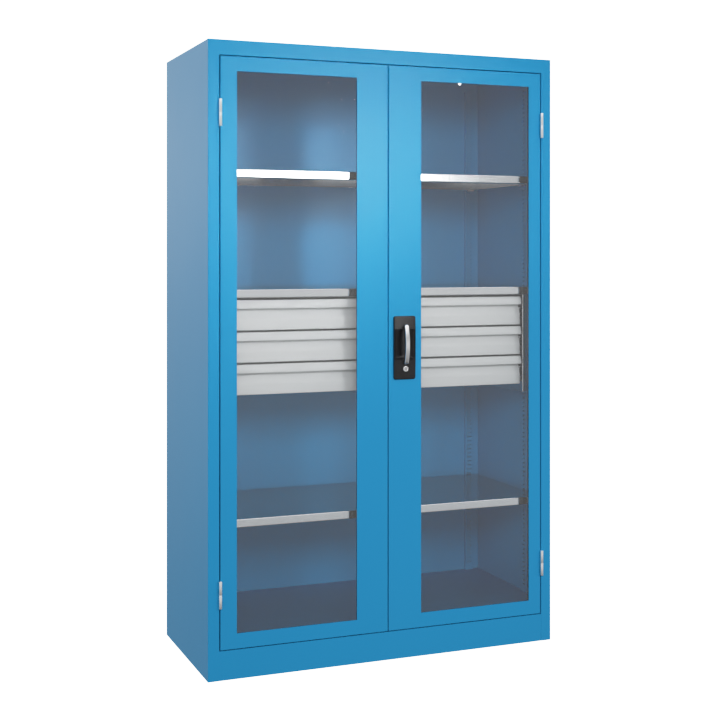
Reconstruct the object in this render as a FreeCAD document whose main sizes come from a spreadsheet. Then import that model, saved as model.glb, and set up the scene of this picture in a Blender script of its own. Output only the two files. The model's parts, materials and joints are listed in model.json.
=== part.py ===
import FreeCAD, Part
import math
import os
import Sketcher
from FreeCAD import Placement, Rotation, Vector

# Workshop cupboard: folded sheet-steel carcass, two windowed doors with a rod lock, three galvanised shelves and two
# blocks of three drawers hung under the middle shelf.
# Frame: millimetres, +Z up, +X to the right, doors face -Y, origin under the middle of the overall box, on the floor.
# Depths written d are counted back from the front plane of the doors.

doc = FreeCAD.newDocument("workshop_cupboard")

# ---------------------------------------------------------------- driving dimensions
SIZES = [
    ("cab_w", 1185, "overall width"),
    ("cab_d", 535, "carcass depth"),
    ("cab_h", 1950, "overall height"),
    ("front_y", -250, "front plane of the doors"),
    ("sheet_th", 1.5, "sheet thickness"),
    ("foot_lift", 1.5, "carcass above the floor"),
    ("post_w", 35.5, "front post face"),
    ("jamb_d", 24.5, "front plane to door stop"),
    ("stop_w", 16, "door stop width"),
    ("rear_w", 20, "rear flange of a side panel"),
    ("header_lo", 1903.5, "underside of the header"),
    ("plinth_hi", 91, "top of the plinth"),
    ("plinth_set", 0.5, "plinth behind the front plane"),
    ("floor_z", 124, "cupboard floor"),
    ("wall_hole_x", 515.5, "wall-fixing hole from the middle"),
    ("wall_hole_z", 1931.5, "wall-fixing hole height"),
    ("wall_hole_r", 7, "wall-fixing hole radius"),
    ("foot_x", 575.4, "foot from the middle"),
    ("foot_r", 11, "foot pad radius"),
    ("door_in", 1.5, "half the meeting gap"),
    ("door_out", 553.5, "hinge edge of a door"),
    ("door_lo", 93.5, "lower edge of the doors"),
    ("door_hi", 1901, "upper edge of the doors"),
    ("door_th", 22, "door thickness"),
    ("hem_w", 12, "rear hem of a door"),
    ("win_lo", 140.4, "window, lower edge"),
    ("win_hi", 1856, "window, upper edge"),
    ("win_l_in", 107.4, "left window, inner edge"),
    ("win_l_out", 501.8, "left window, outer edge"),
    ("win_r_in", 115.2, "right window, inner edge"),
    ("win_r_out", 509.8, "right window, outer edge"),
    ("pane_front", 2.5, "pane behind the front plane"),
    ("pane_th", 4, "pane thickness"),
    ("pane_lap", 11, "pane behind the frame"),
    ("hinge_x", 555.3, "hinge axis from the middle"),
    ("hinge_d", -7.5, "hinge axis, d"),
    ("hinge_r", 5, "hinge barrel radius"),
    ("hinge_half", 42, "one hinge knuckle"),
    ("hinge_len", 83, "hinge barrel length"),
    ("hinge_lo", 222, "lower hinges, bottom"),
    ("hinge_hi", 1686, "upper hinges, bottom"),
    ("pin_rad", 2.5, "hinge pin radius"),
    ("run_gap", 0.05, "running clearance"),
    ("upright_p", 12, "slotted upright, height off its wall"),
    ("upright_w", 28.6, "rear upright width"),
    ("upright_x", 534, "rear upright, inner edge"),
    ("side_up_d", 134, "side upright, front edge"),
    ("side_up_w", 46, "side upright width"),
    ("upright_hi", 1900, "top of the uprights"),
    ("slot_first", 152.75, "first slot"),
    ("slot_pitch", 15, "slot pitch"),
    ("slot_count", 117, "slots in an upright"),
    ("slot_w", 18, "slot width"),
    ("slot_tall", 4.5, "slot height"),
    ("shelf_half", 575, "half shelf width"),
    ("shelf_front", 36, "shelf front, d"),
    ("shelf_back", 514, "shelf back, d"),
    ("shelf_th", 26, "shelf edge height"),
    ("shelf_ret", 25, "shelf return under the edge"),
    ("shelf_top_z", 1560, "top shelf"),
    ("shelf_mid_z", 1188, "middle shelf"),
    ("shelf_low_z", 480, "lower shelf"),
    ("clip_th", 2.5, "shelf clip thickness"),
    ("clip_rise", 3, "middle shelf above its slots"),
    ("block_x", 271.25, "drawer block from the middle"),
    ("block_half", 243.25, "inner face of a side plate from the block's middle"),
    ("block_lo", 833, "lower edge of the side plates"),
    ("block_front", 51, "front of the side plates, d"),
    ("block_back", 512, "back of the side plates, d"),
    ("block_lip", 26, "front flange of the side plates"),
    ("drawer_half", 235, "half a drawer front"),
    ("drawer_top", 1154.5, "top of the upper drawer front"),
    ("drawer_pitch", 100, "drawer pitch"),
    ("drawer_tall", 94.5, "drawer front height"),
    ("face_d", 55, "drawer face, d"),
    ("lip_top_d", 50.5, "pull lip, upper edge, d"),
    ("lip_low_d", 44, "pull lip, lower edge, d"),
    ("lip_tall", 25.5, "pull lip height"),
    ("scoop_d", 67.5, "finger scoop under the lip, d"),
    ("scoop_low", 51, "end of the scoop below the drawer top"),
    ("tray_half", 222, "half a tray"),
    ("tray_front", 69, "tray front, d"),
    ("tray_back", 485, "tray back, d"),
    ("tray_drop", 93, "tray floor below the drawer top"),
    ("tray_tall", 78, "tray wall height"),
    ("rail_drop", 54, "rail centre below the drawer top"),
    ("rail_tall", 34, "fixed rail height"),
    ("rail_deep", 11, "fixed rail depth"),
    ("rail_play", 0.5, "play of the moving rail"),
    ("lock_x", 55, "lock centre from the middle"),
    ("spindle_z", 1066, "handle spindle height"),
    ("spindle_r", 4.5, "handle spindle radius"),
    ("key_z", 930, "lock cylinder height"),
    ("barrel_r", 9, "lock barrel radius"),
    ("core_r", 5.5, "lock core radius"),
    ("gear_module", 1.25, "lock pinion module"),
    ("gear_teeth", 20, "lock pinion teeth"),
    ("rod_r", 4, "lock rod radius"),
    ("rod_d", 14, "lock rods, d"),
    ("rod_dx", 17, "lock rods from the lock centre"),
    ("rod_tip_up", 1897, "upper rod tip at rest"),
    ("rod_tip_low", 98.5, "lower rod tip at rest"),
    ("plate_w", 75, "handle housing width"),
    ("plate_lo", 896, "handle housing, lower edge"),
    ("plate_hi", 1099, "handle housing, upper edge"),
    ("plate_p", 10, "handle housing, height off the door"),
    ("recess_lo", 959, "finger recess, lower edge"),
    ("recess_hi", 1057, "finger recess, upper edge"),
    ("bow_w", 15, "bow handle width"),
    ("bow_lo", 945, "bow handle, lower end"),
    ("bow_hi", 1073, "bow handle, upper end"),
    ("bow_end_d", -24, "bow handle, outer face at its ends, d"),
    ("bow_out_d", -35, "bow handle, outer face at its middle, d"),
    ("bow_in_d", -18, "bow handle, inner face at its middle, d"),
]
sheet = doc.addObject("Spreadsheet::Sheet", "Sizes")
for row, (alias, number, note) in enumerate(SIZES, start=1):
    sheet.set("A%d" % row, note)
    sheet.set("B%d" % row, str(number))
    sheet.setAlias("B%d" % row, alias)
doc.recompute()


class Size:
    """A length together with the sheet expression that gives it."""

    def __init__(self, text, value):
        self.text, self.value = text, float(value)

    def __add__(self, other):
        other = size(other)
        return Size("(%s + %s)" % (self.text, other.text), self.value + other.value)

    def __sub__(self, other):
        other = size(other)
        return Size("(%s - %s)" % (self.text, other.text), self.value - other.value)

    def __mul__(self, other):
        other = size(other)
        return Size("(%s * %s)" % (self.text, other.text), self.value * other.value)

    def __truediv__(self, other):
        other = size(other)
        return Size("(%s / %s)" % (self.text, other.text), self.value / other.value)

    def __neg__(self):
        return Size("(0 - %s)" % self.text, -self.value)

    def __radd__(self, other):
        return size(other) + self

    def __rsub__(self, other):
        return size(other) - self

    def __rmul__(self, other):
        return size(other) * self


def size(value):
    if isinstance(value, Size):
        return value
    return Size("%.6f" % value if value >= 0 else "(0 - %.6f)" % -value, value)


def cell(alias):
    return Size("Sizes.%s" % alias, float(sheet.get(alias)))


for_cells = {alias: cell(alias) for alias, number, note in SIZES}
C = for_cells.__getitem__


def Y(d):
    """The y of a depth d behind the front plane."""
    return C("front_y") + d


def bind(obj, prop, value):
    obj.setExpression(prop, size(value).text)


def span(side, a, b):
    """The x span a..b from the middle, on the right (side 1) or on the left (side -1)."""
    return (size(a), size(b)) if side > 0 else (-size(b), -size(a))


# ---------------------------------------------------------------- building blocks
def box(name, x, y, z):
    b = doc.addObject("Part::Box", name)
    for prop, (lo, hi) in (("Length", x), ("Width", y), ("Height", z)):
        bind(b, prop, size(hi) - lo)
    for axis, (lo, hi) in zip("xyz", (x, y, z)):
        bind(b, "Placement.Base." + axis, lo)
    return b


def rod_z(name, x, y, z, radius):
    c = doc.addObject("Part::Cylinder", name)
    bind(c, "Radius", radius)
    bind(c, "Height", size(z[1]) - z[0])
    for axis, value in zip("xyz", (x, y, z[0])):
        bind(c, "Placement.Base." + axis, value)
    return c


def rod_y(name, x, y, z, radius):
    c = doc.addObject("Part::Cylinder", name)
    c.Placement = Placement(Vector(0, 0, 0), Rotation(Vector(1, 0, 0), -90))
    bind(c, "Radius", radius)
    bind(c, "Height", size(y[1]) - y[0])
    for axis, value in zip("xyz", (x, y[0], z)):
        bind(c, "Placement.Base." + axis, value)
    return c


def fuse(name, *pieces):
    f = doc.addObject("Part::MultiFuse", name)
    f.Shapes = list(pieces)
    f.Refine = True
    return f


def cut(name, base, *tools):
    c = doc.addObject("Part::Cut", name)
    c.Base = base
    c.Tool = tools[0] if len(tools) == 1 else fuse(name + "_tools", *tools)
    c.Refine = True
    return c


def group(name, *pieces):
    g = doc.addObject("Part::Compound", name)
    g.Links = list(pieces)
    return g


def mirrored(name, source):
    m = doc.addObject("Part::Mirroring", name)
    m.Source = source
    m.Base = Vector(0, 0, 0)
    m.Normal = Vector(1, 0, 0)
    return m


def fillet(name, base, pick, radius):
    doc.recompute()
    f = doc.addObject("Part::Fillet", name)
    f.Base = base
    f.Edges = [(i, radius, radius) for i, e in enumerate(base.Shape.Edges, start=1) if pick(e)]
    return f


def body(name):
    return doc.addObject("PartDesign::Body", name)


def pad(owner, name, role, extent, corners, arcs=None):
    """Adds a pad to a body: the outline's corners in the named origin plane, over the extent across that plane.

    arcs maps the index of an edge to the point, level with its middle, that the edge bulges through.
    """
    lo, hi = size(extent[0]), size(extent[1])
    sk = owner.newObject("Sketcher::SketchObject", name + "_outline")
    sk.AttachmentSupport = (next(o for o in owner.Origin.OriginFeatures if o.Role == role), [""])
    sk.MapMode = "FlatFace"
    bind(sk, "AttachmentOffset.Base.z", -hi if role == "XZ_Plane" else lo)
    points = [(size(a), size(b)) for a, b in corners]
    flat = [Vector(a.value, b.value, 0) for a, b in points]
    n = len(flat)
    edges, start, end = [], [], []
    for i in range(n):
        through = (arcs or {}).get(i)
        if through is None:
            edges.append(sk.addGeometry(Part.LineSegment(flat[i], flat[(i + 1) % n])))
            start.append(1)
            end.append(2)
        else:
            arc = Part.Arc(flat[i], Vector(size(through[0]).value, size(through[1]).value, 0), flat[(i + 1) % n])
            edges.append(sk.addGeometry(arc))
            first = sk.getPoint(edges[-1], 1).distanceToPoint(flat[i]) < 1e-6
            start.append(1 if first else 2)
            end.append(2 if first else 1)
            chord, rise = points[(i + 1) % n][1] - points[i][1], points[i][0] - through[0]
            radius = (chord * chord / 4 + rise * rise) / (2 * rise)
            k = sk.addConstraint(Sketcher.Constraint("Radius", edges[-1], radius.value))
            sk.setExpression("Constraints[%d]" % k, radius.text)
    for i in range(n):
        j = (i + 1) % n
        sk.addConstraint(Sketcher.Constraint("Coincident", edges[i], end[i], edges[j], start[j]))
    for i, (a, b) in enumerate(points):
        k = sk.addConstraint(Sketcher.Constraint("DistanceX", edges[i], start[i], a.value))
        sk.setExpression("Constraints[%d]" % k, a.text)
        k = sk.addConstraint(Sketcher.Constraint("DistanceY", edges[i], start[i], b.value))
        sk.setExpression("Constraints[%d]" % k, b.text)
    p = owner.newObject("PartDesign::Pad", name)
    p.Profile = sk
    bind(p, "Length", hi - lo)
    sk.Visibility = False
    return p


NODES = []


def node(obj, name):
    """Registers a finished sub-part under its name."""
    obj.Label = name
    NODES.append(obj)
    return obj


def on_front(e):
    return all(abs(v.Y - C("front_y").value) < 1e-6 for v in e.Vertexes)


t = C("sheet_th")
W2 = C("cab_w") / 2
D = C("cab_d")
H = C("cab_h")
SIDES = ((-1, "left"), (1, "right"))

# ---------------------------------------------------------------- carcass
# Side panel: outer wall, front post, door jamb, door stop and rear flange folded from one sheet.
x0 = -W2
post = x0 + C("post_w")
stop = C("jamb_d")
side = body("side_blank_left")
pad(side, "side_fold", "XY_Plane", (C("foot_lift"), H - t), [
    (x0, Y(0)), (post, Y(0)), (post, Y(stop)), (post + C("stop_w"), Y(stop)), (post + C("stop_w"), Y(stop + t)),
    (post - t, Y(stop + t)), (post - t, Y(t)), (x0 + t, Y(t)), (x0 + t, Y(D - t)), (x0 + C("rear_w"), Y(D - t)),
    (x0 + C("rear_w"), Y(D)), (x0, Y(D))])


def post_edge(e):
    a, b = e.Vertexes[0].Point, e.Vertexes[-1].Point
    upright = abs(a.x - b.x) + abs(a.y - b.y) < 1e-6
    front = upright and abs(a.y - C("front_y").value) < 1e-6
    return front or (upright and abs(a.x - x0.value) < 1e-6)


side_round = fillet("side_round_left", side, post_edge, 1.4)
side_left = cut("side_left", side_round,
                box("side_stop_low", (post + 0.2, post + C("stop_w") + 1), (Y(stop - 1), Y(stop + t + 1)),
                    (0, C("plinth_hi") + C("stop_w") + 1)),
                box("side_stop_high", (post + 0.2, post + C("stop_w") + 1), (Y(stop - 1), Y(stop + t + 1)),
                    (C("header_lo") - C("stop_w") - 0.5, H)))
node(side_left, "side_panel_left")
node(mirrored("side_right", side_left), "side_panel_right")

# Top panel: flat sheet over the sides, header at the front with its return and door stop, short rear flange.
inner_x = W2 - C("post_w")
hd = C("header_lo")
rod_up_x = C("lock_x") + C("rod_dx")
rod_low_x = C("lock_x") - C("rod_dx")
top = body("top_blank")
pad(top, "top_header", "YZ_Plane", (-(inner_x - 0.3), inner_x - 0.3), [
    (Y(0), H), (Y(0), hd), (Y(stop), hd), (Y(stop), hd - C("stop_w")), (Y(stop + t), hd - C("stop_w")),
    (Y(stop + t), hd + t), (Y(t), hd + t), (Y(t), H)])
pad(top, "top_sheet", "XY_Plane", (H - t, H), [(-W2, Y(0)), (W2, Y(0)), (W2, Y(D)), (-W2, Y(D))])
pad(top, "top_rear", "XY_Plane", (H - 11, H), [
    (-(W2 - C("rear_w") - 1), Y(D - t)), (W2 - C("rear_w") - 1, Y(D - t)),
    (W2 - C("rear_w") - 1, Y(D)), (-(W2 - C("rear_w") - 1), Y(D))])


def top_edge(e):
    a, b = e.Vertexes[0].Point, e.Vertexes[-1].Point
    rim = abs(a.z - H.value) < 1e-6 and abs(b.z - H.value) < 1e-6
    low = all(abs(p.z - hd.value) + abs(p.y - C("front_y").value) < 1e-6 for p in (a, b))
    return rim or low


top_round = fillet("top_round", top, top_edge, 1.2)
node(cut("top_cut", top_round, rod_z("top_rod_hole", rod_up_x, Y(C("rod_d")), (hd - 1, hd + t + 1), 5)), "top_panel")

# Back panel with two wall-fixing holes near its upper corners.
back = box("back_blank", (-(W2 - 2), W2 - 2), (Y(D - 2 * t), Y(D - t)), (C("foot_lift") + 1, H - 2))
holes = [rod_y("back_hole_%s" % s, k * C("wall_hole_x"), (Y(D - 10), Y(D + 5)), C("wall_hole_z"), C("wall_hole_r"))
         for k, s in SIDES]
node(cut("back_cut", back, *holes), "back_panel")

# Floor: pan with a front lip behind the sill and lips along the sides.
fz = C("floor_z")
floor_d = stop + t + 1
floor = cut("floor_cut",
            box("floor_blank", (-(W2 - 2), W2 - 2), (Y(floor_d), Y(D - 2 * t - 0.2)), (fz - 28, fz)),
            box("floor_under", (-(W2 - 2 - t), W2 - 2 - t), (Y(floor_d + t), Y(D)), (fz - 30, fz - t)))
node(floor, "floor_panel")

# Plinth board with the sill, its door stop and a bottom flange.
pz = C("plinth_hi")
ps = C("plinth_set")
fl = C("foot_lift")
plinth = body("plinth_blank")
pad(plinth, "plinth_fold", "YZ_Plane", (-(inner_x - 0.2), inner_x - 0.2), [
    (Y(ps), fl), (Y(30), fl), (Y(30), fl + t), (Y(ps + t), fl + t), (Y(ps + t), pz - t), (Y(stop + t), pz - t),
    (Y(stop + t), pz + C("stop_w")), (Y(stop), pz + C("stop_w")), (Y(stop), pz), (Y(ps), pz)])
node(cut("plinth_cut", plinth, rod_z("sill_rod_hole", rod_low_x, Y(C("rod_d")), (pz - 5, pz + 1), 5)), "front_plinth")

# Rear base rail under the floor.
rail = body("rear_rail")
pad(rail, "rear_rail_fold", "YZ_Plane", (-(inner_x - 1), inner_x - 1), [
    (Y(500), fl), (Y(D - 2 * t), fl), (Y(D - 2 * t), fz - t), (Y(D - 3 * t), fz - t), (Y(D - 3 * t), fl + t), (Y(500), fl + t)])
node(rail, "rear_base_rail")

# Foot brackets in the four corners and the feet screwed into them.
brackets, feet = [], []
for k, s in SIDES:
    for end, d in (("front", 15), ("rear", 515)):
        name = "%s_%s" % (end, s)
        spread = (Y(2), Y(24)) if end == "front" else (Y(502), Y(531))
        blank = box("bracket_blank_" + name, span(k, inner_x + 2, W2 - 2), spread, (fl, fl + 5))
        brackets.append(cut("bracket_" + name, blank,
                            rod_z("bracket_hole_" + name, k * C("foot_x"), Y(d), (0, fl + 10), 4)))
        feet.append(fuse("foot_" + name,
                         rod_z("foot_pad_" + name, k * C("foot_x"), Y(d), (0, fl), C("foot_r")),
                         rod_z("foot_stud_" + name, k * C("foot_x"), Y(d), (1, 34), 4)))
node(group("brackets", *brackets), "foot_brackets")
node(group("feet", *feet), "levelling_feet")

# Slotted uprights: two on the back wall, two on the side walls. The slot rows are cut from one row of cutters each.
up = C("upright_p")
first, pitch, count = C("slot_first").value, C("slot_pitch").value, int(C("slot_count").value)
uprights = []
for k, s in SIDES:
    xs = span(k, C("upright_x"), C("upright_x") + C("upright_w"))
    yb = D - 2 * t
    blank = cut("rear_channel_" + s, box("rear_channel_blank_" + s, xs, (Y(yb - up), Y(yb)), (fz, C("upright_hi"))),
                box("rear_channel_core_" + s, (xs[0] + t, xs[1] - t), (Y(yb - up + t), Y(yb + 1)), (fz - 1, C("upright_hi") + 1)))
    slots = doc.addObject("Part::Feature", "rear_slots_" + s)
    mid = (xs[0].value + xs[1].value) / 2
    slots.Shape = Part.makeCompound([
        Part.makeBox(C("slot_w").value, 6, C("slot_tall").value,
                     Vector(mid - C("slot_w").value / 2, Y(yb - up - 3).value, first + i * pitch - C("slot_tall").value / 2))
        for i in range(count)])
    uprights.append(cut("rear_upright_" + s, blank, slots))
    xs = span(k, W2 - t - up, W2 - t)
    web = (xs[0] + t, xs[1] + 1) if k > 0 else (xs[0] - 1, xs[1] - t)
    d0, d1 = C("side_up_d"), C("side_up_d") + C("side_up_w")
    blank = cut("side_channel_" + s, box("side_channel_blank_" + s, xs, (Y(d0), Y(d1)), (fz, C("upright_hi"))),
                box("side_channel_core_" + s, web, (Y(d0 + t), Y(d1 - t)), (fz - 1, C("upright_hi") + 1)))
    slots = doc.addObject("Part::Feature", "side_slots_" + s)
    face = xs[0].value if k > 0 else xs[1].value
    slots.Shape = Part.makeCompound([
        Part.makeBox(6, C("slot_w").value, C("slot_tall").value,
                     Vector(face - 3, Y((d0 + d1) / 2).value - C("slot_w").value / 2, first + i * pitch - C("slot_tall").value / 2))
        for i in range(count)])
    uprights.append(cut("side_upright_" + s, blank, slots))
node(group("uprights", *uprights), "slotted_uprights")

# Shelves: folded pans, edges turned in underneath. Clips hook into the uprights and carry the pans.
clips = []
sh, sf, sb = C("shelf_half"), C("shelf_front"), C("shelf_back")
for name, z in (("top", C("shelf_top_z")), ("middle", C("shelf_mid_z")), ("lower", C("shelf_low_z"))):
    low = z - C("shelf_th")
    blank = box("shelf_blank_" + name, (-sh, sh), (Y(sf), Y(sb)), (low, z))
    shelf_round = fillet("shelf_round_" + name, blank, lambda e: all(abs(v.Y - Y(sf).value) < 1e-6 for v in e.Vertexes)
                         and abs(e.Vertexes[0].X - e.Vertexes[-1].X) > 1, 2.5)
    ret = C("shelf_ret")
    shelf = cut("shelf_%s_cut" % name, shelf_round,
                box("shelf_core_" + name, (-(sh - t), sh - t), (Y(sf + t), Y(sb - t)), (low + t, z - t)),
                box("shelf_open_" + name, (-(sh - ret), sh - ret), (Y(sf + ret), Y(sb - ret)), (low - 1, low + t + 1)))
    node(shelf, "shelf_" + name)
    for k, s in SIDES:
        tag = "%s_%s" % (name, s)
        rise = C("clip_rise") if name == "middle" else size(0)
        zz = (low - rise - C("clip_th"), low)
        zt = (low - rise - C("clip_th"), low - rise)
        mid = (C("side_up_d") + C("side_up_d") + C("side_up_w")) / 2
        face = W2 - t - up
        clips.append(fuse("side_clip_" + tag,
                          box("side_clip_ledge_" + tag, span(k, sh - 15, face), (Y(mid - 8), Y(mid + 8)), zz),
                          box("side_clip_tongue_" + tag, span(k, face - 1, face + 4), (Y(mid - 5.5), Y(mid + 5.5)), zt)))
        mx = C("upright_x") + C("upright_w") / 2
        yf = D - 2 * t - up
        clips.append(fuse("rear_clip_" + tag,
                          box("rear_clip_ledge_" + tag, span(k, mx - 8, mx + 8), (Y(sb - 15), Y(yf)), zz),
                          box("rear_clip_tongue_" + tag, span(k, mx - 5.5, mx + 5.5), (Y(yf - 1), Y(yf + 4)), zt)))
node(group("clips", *clips), "shelf_clips")

# Strike plates behind the header and under the sill; rubber buffers on the door stops.
rd = C("rod_d")
strike_up = cut("strike_up", box("strike_up_blank", (rod_up_x - 20, rod_up_x + 20), (Y(3), Y(24)), (hd + t, hd + t + 3)),
                rod_z("strike_up_hole", rod_up_x, Y(rd), (hd, hd + 10), 4.8))
strike_low = cut("strike_low", box("strike_low_blank", (rod_low_x - 20, rod_low_x + 20), (Y(6), Y(24)), (pz - t - 3, pz - t)),
                 rod_z("strike_low_hole", rod_low_x, Y(rd), (pz - 10, pz), 4.8))
node(group("strikes", strike_up, strike_low), "strike_plates")
buffers = []
for k, s in SIDES:
    for i, (x, z) in enumerate(((inner_x - 10, size(330)), (inner_x - 10, size(1640)),
                                (size(110), hd - 9), (size(110), pz + 9))):
        buffers.append(rod_y("buffer_%s_%d" % (s, i), k * x, (Y(C("door_th") + 0.1), Y(stop)), z, 5))
node(group("buffers", *buffers), "door_buffers")

# ---------------------------------------------------------------- hinges
frame_leaves, pins = [], []
hx, hr = C("hinge_x"), C("hinge_r")
hy = Y(C("hinge_d"))
door_leaves = {"left": [], "right": []}
for k, s in SIDES:
    for pos, z in (("low", C("hinge_lo")), ("high", C("hinge_hi"))):
        tag = "%s_%s" % (s, pos)
        half, full = C("hinge_half"), C("hinge_len")
        knuckle = fuse("frame_knuckle_" + tag,
                       rod_z("frame_barrel_" + tag, k * hx, hy, (z, z + half), hr),
                       box("frame_leaf_" + tag, span(k, inner_x - 1.4, inner_x), (hy, Y(20)), (z, z + half)))
        frame_leaves.append(cut("frame_hinge_" + tag, knuckle,
                                rod_z("frame_bore_" + tag, k * hx, hy, (z - 1, z + half + 1), C("pin_rad"))))
        knuckle = fuse("door_knuckle_" + tag,
                       rod_z("door_barrel_" + tag, k * hx, hy, (z + half + 1, z + full), hr),
                       box("door_leaf_" + tag, span(k, C("door_out"), C("door_out") + 1.4), (hy, Y(20)), (z + half + 1, z + full)))
        door_leaves[s].append(cut("door_hinge_" + tag, knuckle,
                                  rod_z("door_bore_" + tag, k * hx, hy, (z, z + full + 1), C("pin_rad") + C("run_gap"))))
        pins.append(rod_z("pin_" + tag, k * hx, hy, (z, z + full - 2), C("pin_rad")))
node(group("leaves", *frame_leaves), "hinge_frame_leaves")
node(group("pins", *pins), "hinge_pins")

# ---------------------------------------------------------------- doors
dl, dh, dt = C("door_lo"), C("door_hi"), C("door_th")
wl, wh = C("win_lo"), C("win_hi")
lx = C("lock_x")
for k, s in SIDES:
    w_in, w_out = C("win_%s_in" % s[0]), C("win_%s_out" % s[0])
    blank = box("door_blank_" + s, span(k, C("door_in"), C("door_out")), (Y(0), Y(dt)), (dl, dh))
    door_round = fillet("door_round_" + s, blank, on_front, 1.3)
    hem = C("hem_w")
    tools = [
        box("door_hollow_" + s, span(k, C("door_in") + t, C("door_out") - t), (Y(t), Y(dt - t)), (dl + t, dh - t)),
        box("door_open_" + s, span(k, C("door_in") + hem, C("door_out") - hem), (Y(dt - t - 1), Y(dt + 1)), (dl + hem, dh - hem)),
        box("door_window_" + s, span(k, w_in, w_out), (Y(-1), Y(t + 1)), (wl, wh)),
    ]
    if k > 0:
        tools += [
            box("door_lock_cut", (lx - 32, lx + 32), (Y(-1), Y(t + 1)), (C("recess_lo") - 2, C("spindle_z") + 12.5)),
            rod_y("door_barrel_cut", lx, (Y(-1), Y(t + 1)), C("key_z"), C("barrel_r") + 0.5),
            rod_z("door_rod_up", rod_up_x, Y(rd), (dh - 5, dh + 1), 5),
            rod_z("door_rod_low", rod_low_x, Y(rd), (dl - 1, dl + 5), 5),
        ]
    node(cut("door_cut_" + s, door_round, *tools), "door_panel_" + s)

    # Folded stiffeners round the window, welded to the door's inner face: two uprights and two rails.
    a, b = 12.5, 28
    stiff = []
    for i, (xs, zs, core_x, core_z) in enumerate((
            (span(k, w_in - b, w_in - a), (wl - b, wh + b), span(k, w_in - b + t, w_in - a - t), (wl - b + t, wh + b - t)),
            (span(k, w_out + a, w_out + b), (wl - b, wh + b), span(k, w_out + a + t, w_out + b - t), (wl - b + t, wh + b - t)),
            (span(k, w_in - a, w_out + a), (wl - b, wl - a), span(k, w_in - a + t, w_out + a - t), (wl - b + t, wl - a - t)),
            (span(k, w_in - a, w_out + a), (wh + a, wh + b), span(k, w_in - a + t, w_out + a - t), (wh + a + t, wh + b - t)))):
        stiff.append(cut("stiffener_%s_%d" % (s, i), box("stiffener_blank_%s_%d" % (s, i), xs, (Y(t), Y(dt - 2)), zs),
                         box("stiffener_core_%s_%d" % (s, i), core_x, (Y(t - 1), Y(dt - 2 - t)), core_z)))
    node(group("stiffeners_" + s, *stiff), "door_stiffeners_" + s)

    # Thin glazing seal behind the window's edge, pane behind it, and four angle strips that hold the pane from the inside.
    pf, pt = C("pane_front"), C("pane_th")
    seal = cut("seal_" + s, box("seal_blank_" + s, span(k, w_in - 10, w_out + 10), (Y(t), Y(pf)), (wl - 10, wh + 10)),
               box("seal_open_" + s, span(k, w_in - 0.9, w_out + 0.9), (Y(0), Y(pf + 1)), (wl - 0.9, wh + 0.9)))
    node(seal, "window_gasket_" + s)
    lap = C("pane_lap")
    node(box("pane_" + s, span(k, w_in - lap, w_out + lap), (Y(pf), Y(pf + pt)), (wl - lap, wh + lap)), "window_pane_" + s)
    strips = []
    y_leg, y_flat = (Y(pf + pt), Y(dt - 2)), (Y(dt - 2), Y(dt - 2 + 1.2))
    for i, (leg_x, leg_z, flat_x, flat_z) in enumerate((
            (span(k, w_in - 7.5, w_in - 6), (wl - 24, wh + 24), span(k, w_in - 24, w_in - 6), (wl - 24, wh + 24)),
            (span(k, w_out + 6, w_out + 7.5), (wl - 24, wh + 24), span(k, w_out + 6, w_out + 24), (wl - 24, wh + 24)),
            (span(k, w_in - 6, w_out + 6), (wl - 7.5, wl - 6), span(k, w_in - 6, w_out + 6), (wl - 24, wl - 6)),
            (span(k, w_in - 6, w_out + 6), (wh + 6, wh + 7.5), span(k, w_in - 6, w_out + 6), (wh + 6, wh + 24)))):
        if i < 2:
            leg_z = (wl - lap + 0.5, wh + lap - 0.5)
        strips.append(fuse("retainer_%s_%d" % (s, i), box("retainer_leg_%s_%d" % (s, i), leg_x, y_leg, leg_z),
                           box("retainer_flat_%s_%d" % (s, i), flat_x, y_flat, flat_z)))
    node(group("retainers_" + s, *strips), "pane_retainer_" + s)
    node(group("door_hinges_" + s, *door_leaves[s]), "hinge_door_leaves_" + s)

# ---------------------------------------------------------------- handle and lock on the right door
sz, kz = C("spindle_z"), C("key_z")
pw2 = C("plate_w") / 2
plate = box("plate_blank", (lx - pw2, lx + pw2), (Y(-C("plate_p")), Y(0)), (C("plate_lo"), C("plate_hi")))
plate_front = Y(-C("plate_p"))


def corner_edge(e):
    return abs(e.Vertexes[0].Y - e.Vertexes[-1].Y) > 1


plate = fillet("plate_corners", plate, corner_edge, 6)
plate = fillet("plate_rim", plate, lambda e: all(abs(v.Y - plate_front.value) < 1e-6 for v in e.Vertexes), 2.5)
rear_box = box("plate_rear", (lx - 31.5, lx + 31.5), (Y(-1), Y(7)), (C("recess_lo") - 1.5, sz + 12))
scoop = box("recess_blank", (lx - 30, lx + 30), (Y(-30), Y(5.5)), (C("recess_lo"), C("recess_hi")))
scoop = fillet("recess_scoop", scoop, lambda e: all(abs(v.Y - Y(5.5).value) < 1e-6 for v in e.Vertexes)
               or abs(e.Vertexes[0].Y - e.Vertexes[-1].Y) > 1, 7)
trough = box("trough_blank", (lx - 35.5, lx + 35.5), (Y(-30), Y(-2)), (C("recess_lo"), C("recess_hi")))
trough = fillet("trough_round", trough, lambda e: all(abs(v.Y - Y(-2).value) < 1e-6 for v in e.Vertexes), 4)
node(cut("housing_cut", fuse("housing_blank", plate, rear_box), scoop, trough,
         rod_y("spindle_bore", lx, (Y(-30), Y(20)), sz, C("spindle_r") + C("run_gap")),
         rod_y("barrel_bore", lx, (Y(-30), Y(20)), kz, C("barrel_r"))), "handle_housing")

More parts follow.
